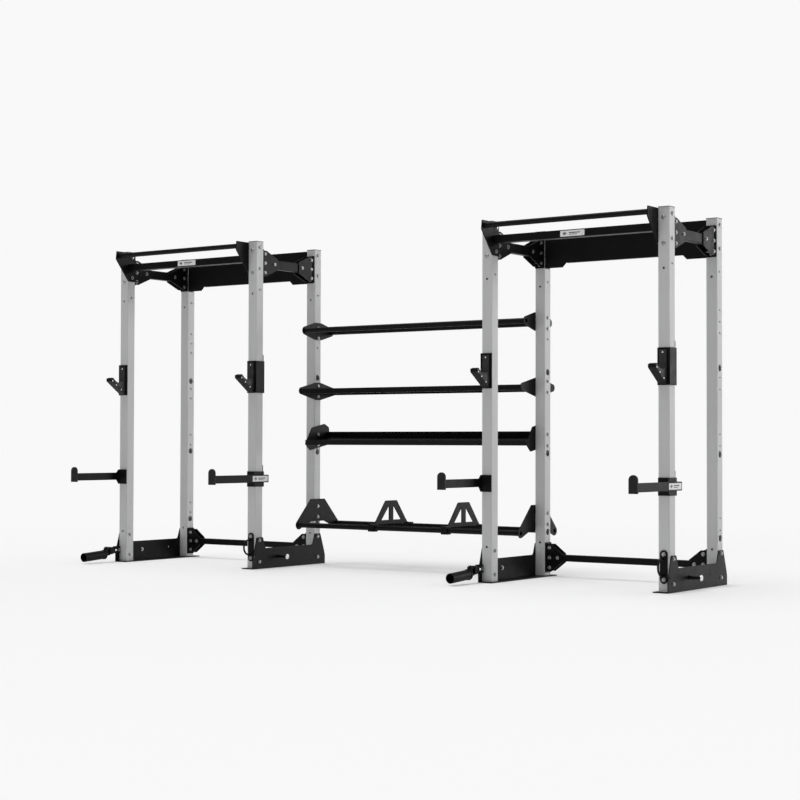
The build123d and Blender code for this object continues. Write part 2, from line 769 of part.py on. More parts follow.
def knuckle():
    """Fork that rocks on the pivot pin and carries the upright swivel pin. Built at X = 0."""
    with BuildPart() as body:
        for x in (-24, 9.3):
            with BuildSketch(Plane.YZ.offset(x)):
                with Locations((-pivot_y, pivot_z)):
                    Circle(15)
                with BuildLine():
                    Polyline((-pivot_y, pivot_z + 15), (-pivot_y - 26, pivot_z + 22),
                             (-pivot_y - 26, pivot_z - 24), (-pivot_y, pivot_z - 15), close=True)
                make_face()
            extrude(amount=14.7)
        with Locations((0, -pivot_y - 34, pivot_z - 1)):
            Box(48, 26, 48)
        for z in (pivot_z + 9, pivot_z - 31):
            with BuildSketch(Plane.XY.offset(z)):
                with Locations((0, -swivel_y)):
                    Circle(16)
                with Locations((0, -swivel_y + 12)):
                    Rectangle(32, 24)
            extrude(amount=12)
        # pivot pin across the fork, welded in with a low head on each side
        with Locations(Location((-27, -pivot_y, pivot_z), (0, 90, 0))):
            Cylinder(6, 54, align=(Align.CENTER, Align.CENTER, Align.MIN))
            Cylinder(9, 3, align=(Align.CENTER, Align.CENTER, Align.MIN))
        with Locations(Location((24, -pivot_y, pivot_z), (0, 90, 0))):
            Cylinder(9, 3, align=(Align.CENTER, Align.CENTER, Align.MIN))
        # swivel pin
        with Locations((0, -swivel_y, pivot_z - 36)):
            Cylinder(6, 66, align=(Align.CENTER, Align.CENTER, Align.MIN))
        with Locations((0, -swivel_y, pivot_z + 21)):
            Cylinder(9.5, 8, align=(Align.CENTER, Align.CENTER, Align.MIN))
        with Locations((0, -swivel_y, pivot_z - 38)):
            Cylinder(9.5, 7, align=(Align.CENTER, Align.CENTER, Align.MIN))
    return tilt(body.part)


def socket():
    """Tube that takes the end of a long bar, with a collar and a tongue on the swivel pin."""
    axis_z = pivot_z - 22
    with BuildPart() as tube_end:
        with BuildSketch(Plane.XZ.offset(swivel_y + 18)):
            with Locations((0, axis_z)):
                Circle(33)
        extrude(amount=8)
        with BuildSketch(Plane.XZ.offset(swivel_y + 26)):
            with Locations((0, axis_z)):
                Circle(30)
        extrude(amount=186)
        with BuildSketch(Plane.XZ.offset(swivel_y + 32)):
            with Locations((0, axis_z)):
                Circle(26)
        extrude(amount=182, mode=Mode.SUBTRACT)
        with BuildSketch(Plane.XY.offset(pivot_z - 18.7)):
            with Locations((0, -swivel_y)):
                Circle(15)
            with Locations((0, -swivel_y - 9.5)):
                Rectangle(30, 19)
            with Locations((0, -swivel_y)):
                Circle(6.05, mode=Mode.SUBTRACT)
        extrude(amount=27.4)
    return tilt(tube_end.part)


def place_socket(x, tag):
    for kind, shape in (("knuckle", knuckle()), ("tube", socket())):
        stand(shape, x - half - plate / 2, front_y, f"socket_{kind}_{tag}")


# ---------------------------------------------------------------- fasteners

def bolt(grip):
    """Hex bolt along +Z: head below Z = 0, nut above Z = grip."""
    with BuildPart() as piece:
        with BuildSketch(Plane.XY):
            RegularPolygon(head_r, 6)
        extrude(amount=-head_h)
        Cylinder(bolt_r, grip, align=(Align.CENTER, Align.CENTER, Align.MIN))
        with BuildSketch(Plane.XY.offset(grip)):
            RegularPolygon(head_r, 6)
        extrude(amount=6)
        with Locations((0, 0, grip + 6)):
            Cylinder(bolt_r, 4, align=(Align.CENTER, Align.CENTER, Align.MIN))
    return piece.part


def bolt_group(name, places):
    """places: list of (head position, direction the bolt points, grip length)."""
    made = {}
    turns = {"+x": (0, 90, 0), "-x": (0, -90, 0), "+y": (-90, 0, 0), "-y": (90, 0, 0)}
    with BuildPart() as group:
        for place, way, grip in places:
            if grip not in made:
                made[grip] = bolt(grip)
            with Locations(Location(place, turns[way])):
                add(made[grip])
    save(group.part, name)


def frame_bolts():
    frame, shelf = [], []
    for x in (-outer_x, -inner_x, inner_x, outer_x):
        s = outward(x)
        inwards = "-x" if s > 0 else "+x"
        for z in (2110, 1970):
            frame.append(((x + s * half, front_y, z), inwards, tube + 8))
            frame.append(((x + s * half, rear_y, z), inwards, tube + 4))
        rows = brace_bolt_rows()
        cheek_bolts = [(y, brace_z) for y in rows]
        for y in (rows[0], rows[3]):
            cheek_bolts += [(y, brace_z + column_rise), (y, brace_z - column_rise)]
        for y, z in cheek_bolts:
            frame.append(((x + s * cheek_face, y, z), inwards, 2 * cheek_face))
        for z in (188, 48):
            frame.append(((x + s * (half + plate), front_y, z), inwards, tube + plate))
            frame.append(((x + s * (half + plate), rear_y, z), inwards, tube + plate + 8))
        for z in (2081, 1941):
            frame.append(((x, front_y + half + 8, z), "-y", 8 + tube_wall))
            frame.append(((x, rear_y - half - 8, z), "+y", 8 + tube_wall))
    near, tip = crossbar_bolt_rows()
    for cage in (-cage_x, cage_x):
        for s in (-1, 1):
            for d, rise in ((near, 0), (near, column_rise), (near, -column_rise), (tip, 0)):
                frame.append(((cage + s * d, rear_y - cheek_face, crossbar_z + rise), "+y", 2 * cheek_face))
    for x in (-outer_x, inner_x):
        frame.append(((x - half - plate / 2 + 17, front_y - 48, pivot_z), "-x", 34))
    for x in (-inner_x, outer_x):
        for z in (214, 73):
            frame.append(((x, front_y - half - 6, z), "+y", 6 + tube_wall))
    for z in (1610, 1541, 1214, 1144, 882, 812, 393, 322):
        for s in (-1, 1):
            way = "+x" if s > 0 else "-x"
            shelf.append(((s * (inner_x - half - plate), rear_y, z), way, tube + plate))
    bolt_group("frame_bolts", frame)
    bolt_group("shelf_bolts", shelf)


def build_all():
    tags = ["far_left", "mid_left", "mid_right", "far_right"]
    for tag, (x, _, _) in zip(tags, front_posts):
        front_upright(x, f"upright_front_{tag}")
        rear_upright(x, f"upright_rear_{tag}")
        foot_plate(x, f"foot_plate_{tag}")
        place_hook(x, tag)
        place_arm(x, tag)
    for cage, side in ((-cage_x, "left"), (cage_x, "right")):
        pull_up_bar(cage, f"pull_up_bar_{side}")
        header_panel(cage, f"header_panel_{side}")
    locking_pins()
    upright_caps()
    wing_plates()
    brace_tubes()
    front_beams()
    beam_badges()
    end_brackets()
    rear_crossbars()
    band_pegs()
    peg_caps()
    rope_anchors()
    ball_brackets()
    tray_brackets()
    slope_brackets()
    disc_brackets()
    rails(ball_z, ball_reach, "ball_rack_rails")
    rails(disc_z, disc_reach, "disc_rack_rails")
    flat_tray()
    sloped_tray()
    disc_divider(-255.0, "disc_divider_left")
    disc_divider(320.0, "disc_divider_right")
    socket_mounts()
    place_socket(-outer_x, "left")
    place_socket(inner_x, "right")
    frame_bolts()


build_all()
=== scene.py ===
"""Looks for the twin power cage: finishes, welds, fasteners, labels, floor, light and camera."""

import json
import math

import bmesh
import bpy
from mathutils import Matrix, Vector


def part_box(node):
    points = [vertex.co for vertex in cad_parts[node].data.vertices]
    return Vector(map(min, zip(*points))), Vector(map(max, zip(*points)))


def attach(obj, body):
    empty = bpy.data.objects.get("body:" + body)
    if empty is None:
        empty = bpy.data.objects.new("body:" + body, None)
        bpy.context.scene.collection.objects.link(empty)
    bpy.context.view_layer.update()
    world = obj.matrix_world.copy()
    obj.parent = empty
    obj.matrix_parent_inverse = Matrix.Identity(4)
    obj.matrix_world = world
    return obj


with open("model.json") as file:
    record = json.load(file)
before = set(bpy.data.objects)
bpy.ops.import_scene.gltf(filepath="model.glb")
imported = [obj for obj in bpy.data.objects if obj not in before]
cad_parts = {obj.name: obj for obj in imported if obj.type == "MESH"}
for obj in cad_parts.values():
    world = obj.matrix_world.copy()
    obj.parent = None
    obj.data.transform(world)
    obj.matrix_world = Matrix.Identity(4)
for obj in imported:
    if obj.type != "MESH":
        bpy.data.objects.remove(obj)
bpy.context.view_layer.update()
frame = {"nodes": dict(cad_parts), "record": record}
nodes = frame["nodes"]

MM = 0.001
TAGS = ("far_left", "mid_left", "mid_right", "far_right")
OUTWARD = {"far_left": -1, "mid_left": 1, "mid_right": -1, "far_right": 1}
BACKDROP = (0.945, 0.945, 0.945, 1)

HEAD_HEIGHT = 7 * MM            # hexagon head of a frame bolt
NUT_HEIGHT = 6 * MM             # its nut, without the stud end
NUT_REACH = 10 * MM             # its nut with the stud end
HOOK_ARM_HALF = 25 * MM         # half the width of a hook's sloping arm
PIVOT_END = 27 * MM             # from a socket's middle to either end of its pivot pin
SWIVEL_TOP = 29 * MM            # from a socket's pivot height to the top of its swivel pin
CHEEK_FACES = (-26.05 * MM, -20.05 * MM, 20.05 * MM, 26.05 * MM)
CHEEK_WELD = 164 * MM           # length of the beads on a cheek
BADGE_WIDTH = 160 * MM
LABEL_SIZE = (152 * MM, 36 * MM)
LABEL_THICKNESS = 0.8 * MM
INK_THICKNESS = 0.15 * MM


# ---------------------------------------------------------------- materials

class Finish:
    """A node material, with short-hands for the textures that every finish here uses."""

    def __init__(self, name):
        self.material = bpy.data.materials.new(name)
        self.material.use_nodes = True
        self.tree = self.material.node_tree
        self.shader = self.tree.nodes["Principled BSDF"]
        self.place = self.node("ShaderNodeTexCoord").outputs["Object"]

    def node(self, kind, **settings):
        made = self.tree.nodes.new(kind)
        for name, value in settings.items():
            setattr(made, name, value)
        return made

    def plug(self, socket, value):
        if isinstance(value, bpy.types.NodeSocket):
            self.tree.links.new(value, socket)
        else:
            socket.default_value = value

    def noise(self, per_metre, detail=3.0, stretch=(1, 1, 1)):
        """Noise of about that many cells a metre, drawn out along an axis by a stretch below 1."""
        spread = self.node("ShaderNodeMapping")
        self.plug(spread.inputs["Vector"], self.place)
        spread.inputs["Scale"].default_value = stretch
        made = self.node("ShaderNodeTexNoise")
        self.plug(made.inputs["Vector"], spread.outputs["Vector"])
        made.inputs["Scale"].default_value = per_metre
        made.inputs["Detail"].default_value = detail
        return made.outputs["Fac"]

    def sum(self, operation, a, b, clamp=False):
        made = self.node("ShaderNodeMath", operation=operation, use_clamp=clamp)
        self.plug(made.inputs[0], a)
        self.plug(made.inputs[1], b)
        return made.outputs[0]

    def spread(self, value, low, high, start=0.0, end=1.0):
        """Map value from low..high to start..end, held at the ends."""
        made = self.node("ShaderNodeMapRange")
        self.plug(made.inputs["Value"], value)
        made.inputs["From Min"].default_value = low
        made.inputs["From Max"].default_value = high
        made.inputs["To Min"].default_value = start
        made.inputs["To Max"].default_value = end
        return made.outputs["Result"]

    def mix(self, share, a, b):
        made = self.node("ShaderNodeMix", data_type="RGBA")
        self.plug(made.inputs["Factor"], share)
        self.plug(made.inputs["A"], a)
        self.plug(made.inputs["B"], b)
        return made.outputs["Result"]

    def edges(self, radius, low=0.02, high=0.22):
        """1 along worn edges and 0 on flat faces."""
        bevel = self.node("ShaderNodeBevel", samples=4)
        bevel.inputs["Radius"].default_value = radius
        true_normal = self.node("ShaderNodeNewGeometry").outputs["True Normal"]
        dot = self.node("ShaderNodeVectorMath", operation="DOT_PRODUCT")
        self.plug(dot.inputs[0], bevel.outputs["Normal"])
        self.plug(dot.inputs[1], true_normal)
        turned = self.sum("SUBTRACT", 1.0, dot.outputs["Value"])
        return self.spread(turned, low, high)

    def bump(self, height, depth, strength=1.0, before=None):
        made = self.node("ShaderNodeBump")
        made.inputs["Strength"].default_value = strength
        made.inputs["Distance"].default_value = depth
        self.plug(made.inputs["Height"], height)
        if before is not None:
            self.plug(made.inputs["Normal"], before)
        return made.outputs["Normal"]

    def grey(self, level, warm=0.0):
        return (level * (1 + warm), level, level * (1 - warm), 1.0)


def powder_coat(name, level, worn, gloss, specular, wear_share, grain=0.00012):
    """Baked powder paint: fine orange peel, slight cloudiness, rubbed edges and a little dust on top."""
    f = Finish(name)
    cloud = f.noise(3.2, 4)
    speck = f.noise(1400, 1)
    patches = f.noise(22, 5)
    base = f.mix(f.spread(cloud, 0.3, 0.7), f.grey(level * 0.92), f.grey(level * 1.08, -0.012))
    base = f.mix(f.spread(speck, 0.62, 0.8, 0.0, 0.3), base, f.grey(min(1.0, level * 1.7 + 0.01)))
    rubbed = f.sum("MULTIPLY", f.edges(0.0016), f.spread(patches, 0.48, 0.62), clamp=True)
    rubbed = f.sum("MULTIPLY", rubbed, wear_share)
    base = f.mix(rubbed, base, f.grey(worn))
    up = f.node("ShaderNodeSeparateXYZ")
    f.plug(up.inputs[0], f.node("ShaderNodeNewGeometry").outputs["Normal"])
    facing_up = f.spread(up.outputs["Z"], 0.6, 1.0)
    dust = f.sum("MULTIPLY", facing_up, f.spread(f.noise(45, 6), 0.45, 0.8, 0.0, 0.05))
    base = f.mix(dust, base, f.grey(0.34, 0.03))
    f.plug(f.shader.inputs["Base Color"], base)
    f.plug(f.shader.inputs["Roughness"], f.spread(patches, 0.2, 0.8, gloss - 0.06, gloss + 0.1))
    f.shader.inputs["Specular IOR Level"].default_value = specular
    peel = f.bump(f.noise(420, 2), grain)
    f.plug(f.shader.inputs["Normal"], f.bump(f.noise(1900, 1), grain * 0.3, 0.7, peel))
    return f.material


def silver_paint():
    """Light metallic powder coat of the uprights: flakes in the paint and faint upright rub marks."""
    f = Finish("SilverPaint")
    cloud = f.noise(1.6, 4)
    flakes = f.noise(2600, 0)
    streaks = f.noise(160, 3, (1, 1, 0.02))
    base = f.mix(f.spread(cloud, 0.3, 0.7), f.grey(0.47), f.grey(0.51, -0.006))
    base = f.mix(f.spread(flakes, 0.58, 0.75, 0.0, 0.5), base, f.grey(0.66))
    base = f.mix(f.spread(streaks, 0.56, 0.72, 0.0, 0.14), base, f.grey(0.3))
    rubbed = f.sum("MULTIPLY", f.edges(0.0016), f.spread(f.noise(30, 5), 0.5, 0.62), clamp=True)
    base = f.mix(f.sum("MULTIPLY", rubbed, 0.5), base, f.grey(0.62))
    f.plug(f.shader.inputs["Base Color"], base)
    f.shader.inputs["Metallic"].default_value = 0.12
    f.plug(f.shader.inputs["Roughness"], f.spread(streaks, 0.3, 0.8, 0.4, 0.54))
    f.shader.inputs["Specular IOR Level"].default_value = 0.4
    peel = f.bump(f.noise(380, 2), 0.0001)
    f.plug(f.shader.inputs["Normal"], f.bump(flakes, 0.00003, 0.6, peel))
    return f.material


def bare_metal(name, level, low_gloss, high_gloss, lines, tarnish):
    """Plated or polished steel with fine turning lines and dull spots."""
    f = Finish(name)
    spots = f.noise(60, 5)
    scratches = f.noise(900, 2, lines)
    base = f.mix(f.spread(spots, 0.45, 0.75, 0.0, 1.0), f.grey(level), f.grey(level * tarnish, 0.015))
    f.plug(f.shader.inputs["Base Color"], base)
    f.shader.inputs["Metallic"].default_value = 1.0
    uneven = f.sum("MULTIPLY", f.spread(spots, 0.3, 0.8), f.spread(scratches, 0.3, 0.7), clamp=True)
    f.plug(f.shader.inputs["Roughness"], f.spread(uneven, 0.0, 0.6, low_gloss, high_gloss))
    f.plug(f.shader.inputs["Normal"], f.bump(scratches, 0.00004, 0.5))
    return f.material


def moulded_plastic(name, level, gloss, grain, scuff):
    """Moulded plastic or rubber: a spark-eroded grain, scuffs where bars land, pale rubbed edges."""
    f = Finish(name)
    skin = f.noise(700, 3)
    wear = f.noise(34, 6, (1, 0.35, 1))
    base = f.mix(f.spread(f.noise(9, 4), 0.3, 0.7), f.grey(level * 0.85), f.grey(level * 1.15))
    base = f.mix(f.spread(wear, 0.56, 0.7, 0.0, scuff), base, f.grey(level * 3 + 0.03))
    base = f.mix(f.sum("MULTIPLY", f.edges(0.0015), 0.25), base, f.grey(level * 2.5 + 0.04))
    f.plug(f.shader.inputs["Base Color"], base)
    f.plug(f.shader.inputs["Roughness"], f.spread(wear, 0.3, 0.75, gloss + 0.1, gloss - 0.08))
    f.shader.inputs["Specular IOR Level"].default_value = 0.3
    f.plug(f.shader.inputs["Normal"], f.bump(skin, grain))
    return f.material


def printed_plate():
    """Pale lacquered plate with a faint brushed ground."""
    f = Finish("LabelPlate")
    lines = f.noise(1200, 2, (0.03, 0.03, 1))
    base = f.mix(f.spread(lines, 0.3, 0.7), f.grey(0.66), f.grey(0.74))
    base = f.mix(f.spread(f.noise(55, 5), 0.6, 0.75, 0.0, 0.2), base, f.grey(0.55, 0.02))
    f.plug(f.shader.inputs["Base Color"], base)
    f.plug(f.shader.inputs["Roughness"], f.spread(lines, 0.2, 0.8, 0.3, 0.42))
    f.plug(f.shader.inputs["Normal"], f.bump(lines, 0.00002, 0.5))
    return f.material


SILVER = silver_paint()
BLACK = powder_coat("BlackPaint", 0.003, 0.05, 0.4, 0.12, 0.35)
WELD = powder_coat("PaintedWeld", 0.005, 0.06, 0.34, 0.16, 0.25)
ZINC = bare_metal("ZincBolt", 0.36, 0.26, 0.44, (1, 1, 0.2), 0.8)
CHROME = bare_metal("PegChrome", 0.78, 0.06, 0.2, (0.2, 1, 1), 0.9)
LINER = moulded_plastic("WearLiner", 0.02, 0.5, 0.00012, 0.35)
RUBBER = moulded_plastic("StopPlastic", 0.004, 0.56, 0.00016, 0.12)
PLATE = printed_plate()
INK = moulded_plastic("PrintedInk", 0.01, 0.42, 0.00004, 0.1)

SLOTS = {
    "upright_paint": SILVER,
    "frame_paint": BLACK,
    "zinc_bolts": ZINC,
    "peg_chrome": CHROME,
    "wear_plastic": LINER,
    "stop_plastic": RUBBER,
    "badge_plate": PLATE,
}


def dress_cad_nodes():
    for row in frame["record"]["subparts"]:
        node = nodes[row["node"]]
        node.data.materials.clear()
        node.data.materials.append(SLOTS[row["material_slot"]])


# ---------------------------------------------------------------- piece building

def piece(name, mesh, material, body):
    """Turn a bmesh, already in the frame's place, into a piece that rides on a body."""
    data = bpy.data.meshes.new(name)
    mesh.to_mesh(data)
    mesh.free()
    data.materials.append(material)
    obj = bpy.data.objects.new(name, data)
    bpy.context.scene.collection.objects.link(obj)
    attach(obj, body)
    return obj


def smooth(mesh):
    for face in mesh.faces:
        face.smooth = True


def side_axes(direction):
    """Two directions square to this one and to each other."""
    direction = direction.normalized()
    helper = Vector((0, 0, 1)) if abs(direction.z) < 0.9 else Vector((0, 1, 0))
    first = direction.cross(helper).normalized()
    return first, direction.cross(first).normalized()


def turned(mesh, centre, axis, profile, segments=24):
    """Turn a profile of (radius, height) about an axis; a radius of 0 closes the end."""
    u, v = side_axes(axis)
    axis = axis.normalized()
    rings = []
    for radius, height in profile:
        middle = centre + axis * height
        if radius == 0:
            rings.append([mesh.verts.new(middle)])
            continue
        angles = [2 * math.pi * i / segments for i in range(segments)]
        rings.append([mesh.verts.new(middle + (u * math.cos(a) + v * math.sin(a)) * radius) for a in angles])
    for low, high in zip(rings, rings[1:]):
        for i in range(segments):
            j = (i + 1) % segments
            corners = [low[i % len(low)], low[j % len(low)], high[j % len(high)], high[i % len(high)]]
            distinct = list(dict.fromkeys(corners))
            if len(distinct) > 2:
                mesh.faces.new(distinct)


def bead(mesh, points, radius, closed=False, sides=6):
    """A weld bead along closely spaced points: each ring swells and falls as the puddle was laid."""
    count = len(points)
    rings = []
    for i, point in enumerate(points):
        ahead = points[(i + 1) % count] if closed else points[min(i + 1, count - 1)]
        behind = points[i - 1] if closed else points[max(i - 1, 0)]
        u, v = side_axes(ahead - behind)
        fade = 1.0 if closed else min(1.0, 0.35 + min(i, count - 1 - i) * 0.35)
        ripple = radius * fade * (1.0 + 0.13 * math.cos(i * math.pi * 0.66))
        rings.append([
            mesh.verts.new(point + (u * math.cos(a) + v * math.sin(a)) * ripple)
            for a in (2 * math.pi * k / sides for k in range(sides))
        ])
    pairs = list(zip(rings, rings[1:] + rings[:1])) if closed else list(zip(rings, rings[1:]))
    for low, high in pairs:
        for k in range(sides):
            n = (k + 1) % sides
            mesh.faces.new((low[k], low[n], high[n], high[k]))
    if not closed:
        mesh.faces.new(rings[0][::-1])
        mesh.faces.new(rings[-1])


def along(start, end, step=1.7 * MM):
    """Points from start to end, spaced for a weld bead."""
    count = max(4, int((end - start).length / step))
    return [start.lerp(end, i / count) for i in range(count + 1)]


def round_trip(centre, axis, radius, step=1.5 * MM):
    """Points once round a circle, spaced for a weld bead."""
    u, v = side_axes(axis)
    count = max(18, int(2 * math.pi * radius / step))
    angles = [2 * math.pi * i / count for i in range(count)]
    return [centre + (u * math.cos(a) + v * math.sin(a)) * radius for a in angles]


def slab(mesh, centre, right, up, width, height, depth, corner, segments=5):
    """A thin rounded plate standing off a face along right x up."""
    out = right.cross(up).normalized()
    outline = []
    for sx, sy, start in ((1, 1, 0.0), (-1, 1, 0.5), (-1, -1, 1.0), (1, -1, 1.5)):
        middle = (sx * (width / 2 - corner), sy * (height / 2 - corner))
        for i in range(segments + 1):
            a = math.pi * (start + 0.5 * i / segments)
            outline.append((middle[0] + corner * math.cos(a), middle[1] + corner * math.sin(a)))
    rings = []
    for inset, level in ((0.0, 0.0), (0.0, depth * 0.6), (depth * 0.5, depth)):
        sx, sy = 1 - 2 * inset / width, 1 - 2 * inset / height
        base = centre + out * level
        rings.append([mesh.verts.new(base + right * (x * sx) + up * (y * sy)) for x, y in outline])
    count = len(outline)
    for low, high in zip(rings, rings[1:]):
        for i in range(count):
            j = (i + 1) % count
            mesh.faces.new((low[i], low[j], high[j], high[i]))
    mesh.faces.new(rings[-1])
    mesh.faces.new(rings[0][::-1])


# ---------------------------------------------------------------- labels

def plain_marks(name, body, centre, right, up, width, height):
    """A made-up sign that says nothing: a ring with a bar through it, and two plain lines."""
    out = right.cross(up).normalized()
    mesh = bmesh.new()
    ring_at = centre - right * (width * 0.34)
    radius = height * 0.27
    bore = radius * 0.6
    ring = [(bore, 0), (radius, 0), (radius, INK_THICKNESS), (bore, INK_THICKNESS)]
    turned(mesh, ring_at, out, ring, 28)
    slab(mesh, ring_at, right, up, radius * 2.9, radius * 0.42, 0.18 * MM, radius * 0.16)
    line_at = centre + right * (width * 0.1)
    slab(mesh, line_at + up * (height * 0.1), right, up,
         width * 0.5, height * 0.15, INK_THICKNESS, height * 0.05)
    slab(mesh, line_at - up * (height * 0.18) - right * (width * 0.07), right, up,
         width * 0.36, height * 0.09, INK_THICKNESS, height * 0.03)
    return piece(name, mesh, INK, body)


def beam_marks():
    """Printed marks on the badge of each front beam."""
    low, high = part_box("beam_badges")
    height = high.z - low.z
    right, up = Vector((1, 0, 0)), Vector((0, 0, 1))
    centres = {"left": low.x + BADGE_WIDTH / 2, "right": high.x - BADGE_WIDTH / 2}
    for side, x in centres.items():
        centre = Vector((x, low.y, (low.z + high.z) / 2))
        plain_marks(f"badge_marks_{side}", "frame", centre, right, up, 150 * MM, height)


def arm_labels():
    """A pale printed plate on the outer face of each safety arm, near the upright."""
    width, height = LABEL_SIZE
    for tag in TAGS:
        low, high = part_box(f"arm_frame_{tag}")
        side = OUTWARD[tag]
        face = high.x if side > 0 else low.x
        right = Vector((0, side, 0))
        up = Vector((0, 0, 1))
        centre = Vector((face, high.y - 84 * MM, low.z + 53 * MM))
        mesh = bmesh.new()
        slab(mesh, centre, right, up, width, height, LABEL_THICKNESS, 3 * MM)
        piece(f"arm_label_{tag}", mesh, PLATE, f"arm_{tag}")
        face_of_plate = centre + right.cross(up).normalized() * LABEL_THICKNESS
        plain_marks(f"arm_label_marks_{tag}", f"arm_{tag}", face_of_plate, right, up, 140 * MM, height)


# ---------------------------------------------------------------- fasteners

def islands(obj):
    """Groups of vertices that belong to one solid of a node, found by joining shared places."""
    mesh = bmesh.new()
    mesh.from_mesh(obj.data)
    bmesh.ops.remove_doubles(mesh, verts=mesh.verts, dist=1e-6)
    mesh.verts.ensure_lookup_table()
    seen = set()
    groups = []
    for start in mesh.verts:
        if start.index in seen:
            continue
        stack = [start]
        seen.add(start.index)
        found = []
        while stack:
            vert = stack.pop()
            found.append(vert.co.copy())
            for edge in vert.link_edges:
                other = edge.other_vert(vert)
                if other.index not in seen:
                    seen.add(other.index)
                    stack.append(other)
        groups.append(found)
    mesh.free()
    return groups


def corners(points):
    """Opposite corners of the box round some points."""
    low = Vector([min(p[i] for p in points) for i in range(3)])
    high = Vector([max(p[i] for p in points) for i in range(3)])
    return low, high


def peg_root(points):
    """The middle of a band peg's inner end, and the way the peg points."""
    low, high = corners(points)
    middle = (low + high) / 2
    wide = [p.x for p in points if math.hypot(p.y - middle.y, p.z - middle.z) > 13 * MM]
    way = 1 if min(wide) - low.x < high.x - max(wide) else -1
    return Vector((low.x if way > 0 else high.x, middle.y, middle.z)), way


def bolt_ends(points):
    """Where a bolt's head and nut sit on the metal, and which way each faces."""
    low, high = corners(points)
    size = high - low
    i = max(range(3), key=lambda k: size[k])
    axis = Vector([1.0 if k == i else 0.0 for k in range(3)])
    middle = (low + high) / 2

    def reach(level):
        near = [p for p in points if abs(p[i] - level) < 1e-5]
        return max(((p - middle) - axis * (p - middle).dot(axis)).length for p in near)

    head_at_low = reach(low[i]) > reach(high[i])
    if head_at_low:
        way, head_face, nut_face = -1, low[i] + HEAD_HEIGHT, high[i] - NUT_REACH
    else:
        way, head_face, nut_face = 1, high[i] - HEAD_HEIGHT, low[i] + NUT_REACH
    base = middle - axis * middle.dot(axis)
    return [(base + axis * head_face, axis * way, HEAD_HEIGHT),
            (base + axis * nut_face, axis * -way, NUT_HEIGHT)]


def bolt_details():
    """A washer under every head and nut, and the chamfered crown that a forged hexagon has."""
    for node in ("frame_bolts", "shelf_bolts"):
        washers = bmesh.new()
        for points in islands(nodes[node]):
            for place, out, height in bolt_ends(points):
                turned(washers, place, out, [
                    (9.0 * MM, 0.05 * MM), (12.2 * MM, 0.05 * MM), (12.4 * MM, 0.5 * MM),
                    (12.0 * MM, 1.5 * MM), (9.0 * MM, 1.7 * MM)], 28)
                if height == HEAD_HEIGHT:
                    turned(washers, place, out, [
                        (7.6 * MM, height + 0.02 * MM), (7.3 * MM, height + 0.5 * MM),
                        (5.6 * MM, height + 0.7 * MM), (5.2 * MM, height + 0.3 * MM),
                        (0, height + 0.3 * MM)], 24)
        smooth(washers)
        piece(node.replace("bolts", "washers"), washers, ZINC, "frame")


def hook_screws():
    """Low chrome heads along both edges of each hook's sloping arm, and one at the top of its pad."""
    dome = [(5.0 * MM, 0), (5.2 * MM, 0.7 * MM), (4.4 * MM, 1.9 * MM), (3.0 * MM, 2.4 * MM),
            (2.4 * MM, 2.4 * MM), (2.2 * MM, 1.2 * MM), (0, 1.2 * MM)]
    for tag in TAGS:
        low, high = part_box(f"hook_liner_{tag}")
        middle = (low.x + high.x) / 2
        mesh = bmesh.new()
        for back, up in ((126 * MM, 82 * MM), (90 * MM, 55 * MM), (44 * MM, 24 * MM)):
            for way in (1, -1):
                spot = Vector((middle + way * HOOK_ARM_HALF, high.y - back, low.z + up))
                turned(mesh, spot, Vector((way, 0, 0)), dome, 24)
        turned(mesh, Vector((middle, high.y - 9 * MM, high.z - 14 * MM)), Vector((0, -1, 0)), dome, 24)
        smooth(mesh)
        piece(f"hook_screws_{tag}", mesh, CHROME, f"hook_{tag}")


def hexagon(mesh, place, out, radius, height):
    """A chamfered hexagon nut standing on a face, with a washer under it and a stud end in it."""
    turned(mesh, place, out, [(radius * 1.02, 0), (radius * 1.28, 0), (radius * 1.3, 0.4 * MM),
                              (radius * 1.26, 1.5 * MM), (radius * 0.7, 1.6 * MM)], 28)
    turned(mesh, place, out, [(radius, 1.5 * MM), (radius, height - 0.8 * MM), (radius * 0.88, height),
                              (radius * 0.56, height), (radius * 0.54, height + 1.6 * MM),
                              (radius * 0.44, height + 2.2 * MM), (0, height + 2.2 * MM)], 6)


def peg_nuts():
    """The nut behind each band peg, on the inner face of its foot plate."""
    mesh = bmesh.new()
    for points in islands(nodes["band_pegs"]):
        root, way = peg_root(points)
        hexagon(mesh, root, Vector((-way, 0, 0)), 11 * MM, 9 * MM)
    piece("peg_nuts", mesh, ZINC, "frame")


def top_bolts():
    """Two button heads near the top of each front upright, on its front face."""
    button = [(12.5 * MM, 0), (12.6 * MM, 1.4 * MM), (9.6 * MM, 1.6 * MM), (9.4 * MM, 3.2 * MM),
              (7.6 * MM, 5.6 * MM), (4.2 * MM, 6.8 * MM), (3.8 * MM, 6.8 * MM), (3.6 * MM, 3.6 * MM),
              (0, 3.6 * MM)]
    mesh = bmesh.new()
    for tag in TAGS:
        low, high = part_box(f"upright_front_{tag}")
        for below_top in (57 * MM, 205 * MM):
            spot = Vector(((low.x + high.x) / 2, low.y, high.z - below_top))
            turned(mesh, spot, Vector((0, -1, 0)), button, 28)
    smooth(mesh)
    piece("top_bolts", mesh, ZINC, "frame")


